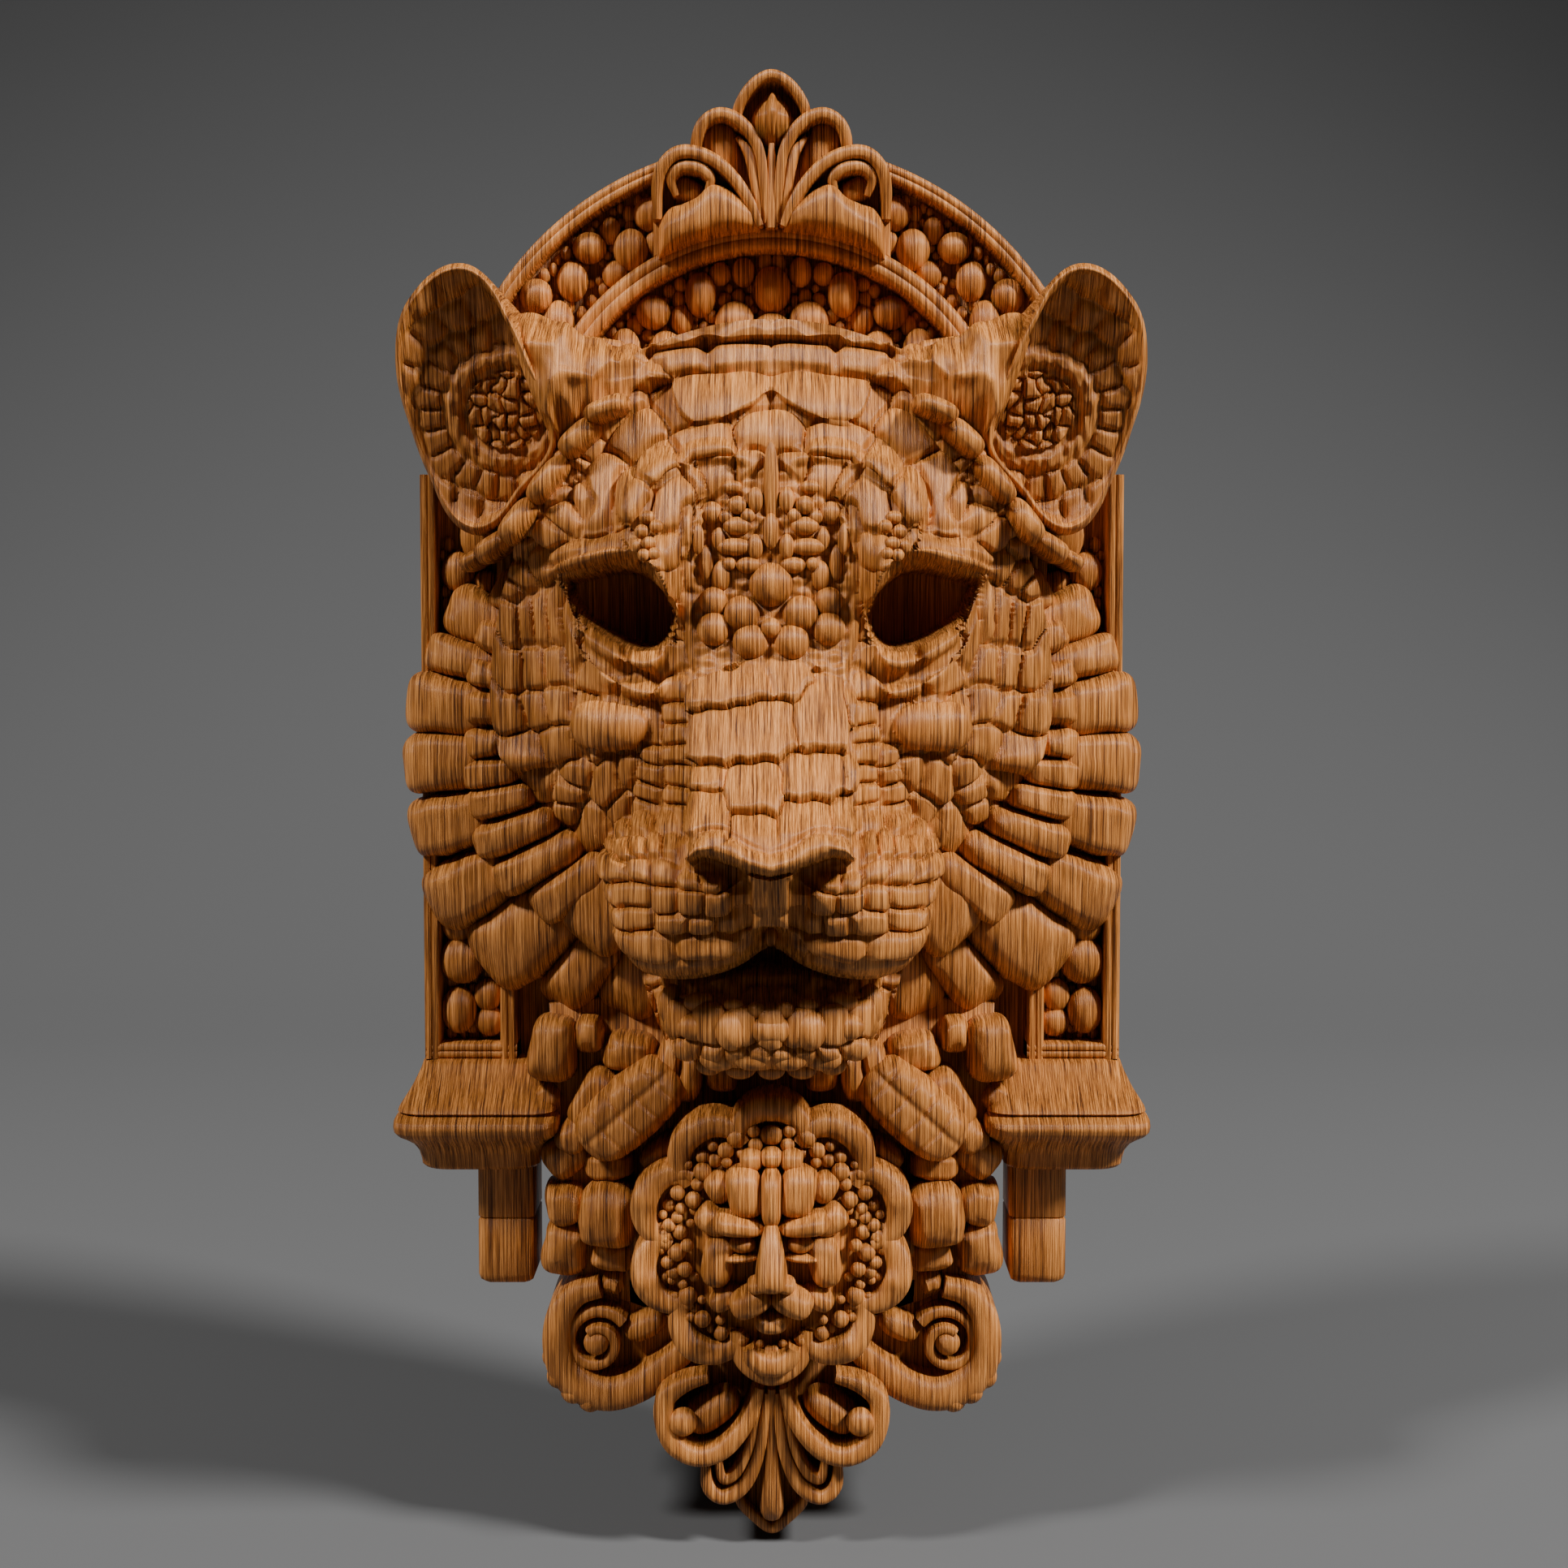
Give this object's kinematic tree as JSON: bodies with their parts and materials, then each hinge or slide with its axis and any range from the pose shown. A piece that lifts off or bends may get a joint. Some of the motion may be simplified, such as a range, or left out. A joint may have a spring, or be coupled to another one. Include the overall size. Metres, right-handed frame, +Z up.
{
  "type": "tiger head relief carving",
  "caption": "Carved wooden wall plaque: tiger head in high relief on an arched, bracketed frame, with a palmette crest, a mask medallion and scrolls below.",
  "frame": {"origin": "centre of the flat back, where the carving lies on the wall", "axes": "+Z up along the carving's height, -Y out of the wall towards the viewer, +X to the viewer's right"},
  "size_m": [0.3112, 0.1699, 0.6006],
  "materials": {
    "striped_wood": "oiled, satin, with a strong upright stripe in the grain"
  },
  "bodies": {
    "root": {"tiger_head_relief": "striped_wood"}
  },
  "joints": []
}
